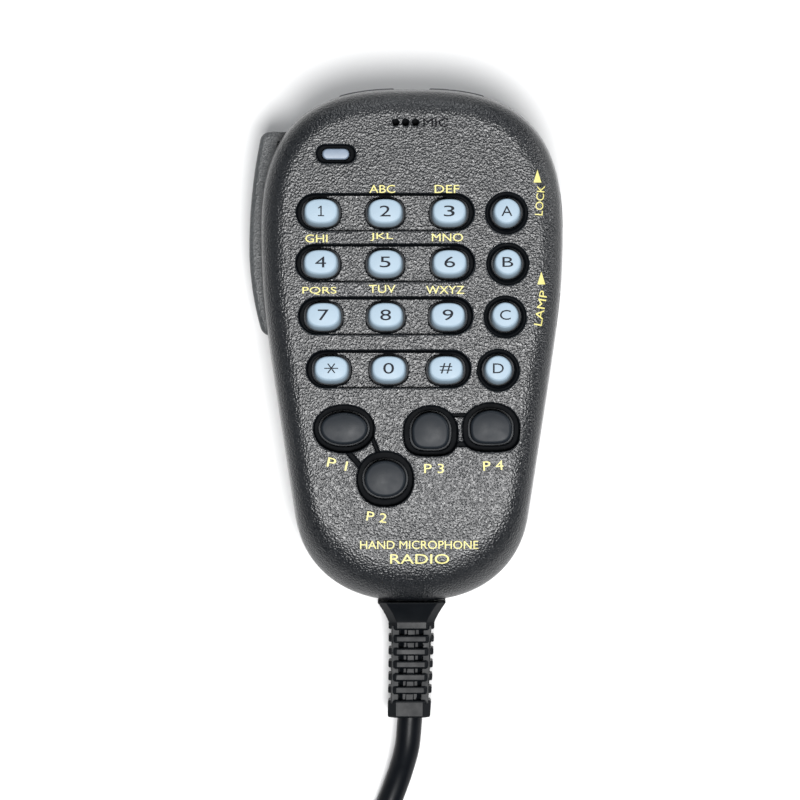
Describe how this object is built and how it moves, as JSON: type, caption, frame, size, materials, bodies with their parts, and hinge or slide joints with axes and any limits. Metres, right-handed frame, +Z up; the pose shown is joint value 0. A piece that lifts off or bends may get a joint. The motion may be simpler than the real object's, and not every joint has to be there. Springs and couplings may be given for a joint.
{
  "type": "hand microphone",
  "caption": "Handheld radio microphone with a telephone keypad, memory keys, a side talk bar and a curly cord on a modular plug.",
  "frame": {"origin": "centre of the bounding box of the microphone, without its free cord, on the surface that it lies on", "axes": "+X to the right of the front, +Y towards the top end with the sound holes, +Z up, out of the front; it lies on its back, tilted about X onto the hanger button and the heel"},
  "size_m": [0.0643, 0.2835, 0.0341],
  "materials": {
    "case": "fine pebble grain, semi-matt",
    "rear": "fine pebble grain, matt",
    "key_rubber": "translucent silicone rubber, satin",
    "memory_rubber": "silicone rubber, matt",
    "control_plastic": "moulded, semi-matt",
    "hanger_metal": "satin black",
    "steel": "plain zinc",
    "spring_steel": "bright",
    "board": "green solder mask",
    "chip": "moulded black",
    "part_metal": "tinned",
    "mat_rubber": "silicone rubber",
    "led": "clear resin",
    "lens": "diffusing",
    "nylon": "natural",
    "wire": "insulation",
    "cord": "satin jacket",
    "relief": "matt moulded",
    "plug_clear": "clear polycarbonate",
    "gold": "gold flash",
    "tie": "woven hook-and-loop strap"
  },
  "bodies": {
    "case": {"front_case": "case", "rear_case": "rear", "case_screws": "steel", "hanger_button": "hanger_metal", "hanger_screw": "steel", "hanger_washer": "spring_steel", "main_board": "board", "board_screws": "steel", "keypad_mat": "mat_rubber", "controller_chip": "chip", "board_parts": "part_metal", "backlight_leds": "led", "mic_capsule": "part_metal", "mic_boot": "mat_rubber", "cord_jacket": "cord", "cord_anchor": "steel", "cord_wires": "wire", "harness_plug": "nylon", "harness_socket": "nylon", "talk_pin": "steel", "talk_spring": "spring_steel", "talk_switch": "chip", "step_board": "board", "step_switches": "chip", "slide_switches": "part_metal", "indicator_lens": "lens", "indicator_led": "led", "strain_relief": "relief", "cord_lead": "cord", "cord_curl": "cord", "cord_tail": "cord", "cord_tie": "tie", "plug_body": "plug_clear", "plug_contacts": "gold"},
    "key_1": {"key_1": "key_rubber"},
    "key_2": {"key_2": "key_rubber"},
    "key_3": {"key_3": "key_rubber"},
    "key_4": {"key_4": "key_rubber"},
    "key_5": {"key_5": "key_rubber"},
    "key_6": {"key_6": "key_rubber"},
    "key_7": {"key_7": "key_rubber"},
    "key_8": {"key_8": "key_rubber"},
    "key_9": {"key_9": "key_rubber"},
    "key_star": {"key_star": "key_rubber"},
    "key_0": {"key_0": "key_rubber"},
    "key_hash": {"key_hash": "key_rubber"},
    "key_a": {"key_a": "key_rubber"},
    "key_b": {"key_b": "key_rubber"},
    "key_c": {"key_c": "key_rubber"},
    "key_d": {"key_d": "key_rubber"},
    "p1_key": {"p1_key": "memory_rubber"},
    "p2_key": {"p2_key": "memory_rubber"},
    "p3_key": {"p3_key": "memory_rubber"},
    "p4_key": {"p4_key": "memory_rubber"},
    "talk_bar": {"talk_bar": "control_plastic"},
    "talk_plunger": {"talk_plunger": "nylon"},
    "up_button": {"up_button": "control_plastic"},
    "down_button": {"down_button": "control_plastic"},
    "lock_slider": {"lock_slider": "control_plastic"},
    "lamp_slider": {"lamp_slider": "control_plastic"}
  },
  "joints": [
    {"name": "key_1_press", "type": "slide", "parent": "case", "child": "key_1", "axis": [0, 0.0826, -0.9966], "range_m": [0, 0.0008], "stiffness_N_per_m": 600, "springref_m": -0.0005},
    {"name": "key_2_press", "type": "slide", "parent": "case", "child": "key_2", "axis": [0, 0.0826, -0.9966], "range_m": [0, 0.0008], "stiffness_N_per_m": 600, "springref_m": -0.0005},
    {"name": "key_3_press", "type": "slide", "parent": "case", "child": "key_3", "axis": [0, 0.0826, -0.9966], "range_m": [0, 0.0008], "stiffness_N_per_m": 600, "springref_m": -0.0005},
    {"name": "key_4_press", "type": "slide", "parent": "case", "child": "key_4", "axis": [0, 0.0826, -0.9966], "range_m": [0, 0.0008], "stiffness_N_per_m": 600, "springref_m": -0.0005},
    {"name": "key_5_press", "type": "slide", "parent": "case", "child": "key_5", "axis": [0, 0.0826, -0.9966], "range_m": [0, 0.0008], "stiffness_N_per_m": 600, "springref_m": -0.0005},
    {"name": "key_6_press", "type": "slide", "parent": "case", "child": "key_6", "axis": [0, 0.0826, -0.9966], "range_m": [0, 0.0008], "stiffness_N_per_m": 600, "springref_m": -0.0005},
    {"name": "key_7_press", "type": "slide", "parent": "case", "child": "key_7", "axis": [0, 0.0826, -0.9966], "range_m": [0, 0.0008], "stiffness_N_per_m": 600, "springref_m": -0.0005},
    {"name": "key_8_press", "type": "slide", "parent": "case", "child": "key_8", "axis": [0, 0.0826, -0.9966], "range_m": [0, 0.0008], "stiffness_N_per_m": 600, "springref_m": -0.0005},
    {"name": "key_9_press", "type": "slide", "parent": "case", "child": "key_9", "axis": [0, 0.0826, -0.9966], "range_m": [0, 0.0008], "stiffness_N_per_m": 600, "springref_m": -0.0005},
    {"name": "key_star_press", "type": "slide", "parent": "case", "child": "key_star", "axis": [0, 0.0826, -0.9966], "range_m": [0, 0.0008], "stiffness_N_per_m": 600, "springref_m": -0.0005},
    {"name": "key_0_press", "type": "slide", "parent": "case", "child": "key_0", "axis": [0, 0.0826, -0.9966], "range_m": [0, 0.0008], "stiffness_N_per_m": 600, "springref_m": -0.0005},
    {"name": "key_hash_press", "type": "slide", "parent": "case", "child": "key_hash", "axis": [0, 0.0826, -0.9966], "range_m": [0, 0.0008], "stiffness_N_per_m": 600, "springref_m": -0.0005},
    {"name": "key_a_press", "type": "slide", "parent": "case", "child": "key_a", "axis": [0, 0.0826, -0.9966], "range_m": [0, 0.0008], "stiffness_N_per_m": 600, "springref_m": -0.0005},
    {"name": "key_b_press", "type": "slide", "parent": "case", "child": "key_b", "axis": [0, 0.0826, -0.9966], "range_m": [0, 0.0008], "stiffness_N_per_m": 600, "springref_m": -0.0005},
    {"name": "key_c_press", "type": "slide", "parent": "case", "child": "key_c", "axis": [0, 0.0826, -0.9966], "range_m": [0, 0.0008], "stiffness_N_per_m": 600, "springref_m": -0.0005},
    {"name": "key_d_press", "type": "slide", "parent": "case", "child": "key_d", "axis": [0, 0.0826, -0.9966], "range_m": [0, 0.0008], "stiffness_N_per_m": 600, "springref_m": -0.0005},
    {"name": "p1_key_press", "type": "slide", "parent": "case", "child": "p1_key", "axis": [0, 0.0826, -0.9966], "range_m": [0, 0.0008], "stiffness_N_per_m": 700, "springref_m": -0.0005},
    {"name": "p2_key_press", "type": "slide", "parent": "case", "child": "p2_key", "axis": [0, 0.0826, -0.9966], "range_m": [0, 0.0008], "stiffness_N_per_m": 700, "springref_m": -0.0005},
    {"name": "p3_key_press", "type": "slide", "parent": "case", "child": "p3_key", "axis": [0, 0.0826, -0.9966], "range_m": [0, 0.0008], "stiffness_N_per_m": 700, "springref_m": -0.0005},
    {"name": "p4_key_press", "type": "slide", "parent": "case", "child": "p4_key", "axis": [0, 0.0826, -0.9966], "range_m": [0, 0.0008], "stiffness_N_per_m": 700, "springref_m": -0.0005},
    {"name": "talk_bar_press", "type": "hinge", "parent": "case", "child": "talk_bar", "pos_m": [-0.0231, 0.01016, 0.0114], "axis": [0, 0.0826, -0.9966], "range_deg": [0, 2.7], "stiffness_Nm_per_rad": 1, "springref_deg": -2.29, "deforming": ["talk_spring"]},
    {"name": "talk_plunger_slide", "type": "slide", "parent": "case", "child": "talk_plunger", "axis": [1, 0, 0], "range_m": [0, 0.00145]},
    {"name": "up_button_press", "type": "slide", "parent": "case", "child": "up_button", "axis": [0, -0.9966, -0.0826], "range_m": [0, 0.0008], "stiffness_N_per_m": 800, "springref_m": -0.0004},
    {"name": "down_button_press", "type": "slide", "parent": "case", "child": "down_button", "axis": [0, -0.9966, -0.0826], "range_m": [0, 0.0008], "stiffness_N_per_m": 800, "springref_m": -0.0004},
    {"name": "lock_slider_slide", "type": "slide", "parent": "case", "child": "lock_slider", "axis": [-0.0446, 0.9956, 0.0826], "range_m": [0, 0.0025]},
    {"name": "lamp_slider_slide", "type": "slide", "parent": "case", "child": "lamp_slider", "axis": [0.1199, 0.9894, 0.082], "range_m": [0, 0.0025]}
  ],
  "couplings": [
    {"joint": "talk_plunger_slide", "follows": "talk_bar_press", "m_per_rad": 0.0295}
  ]
}
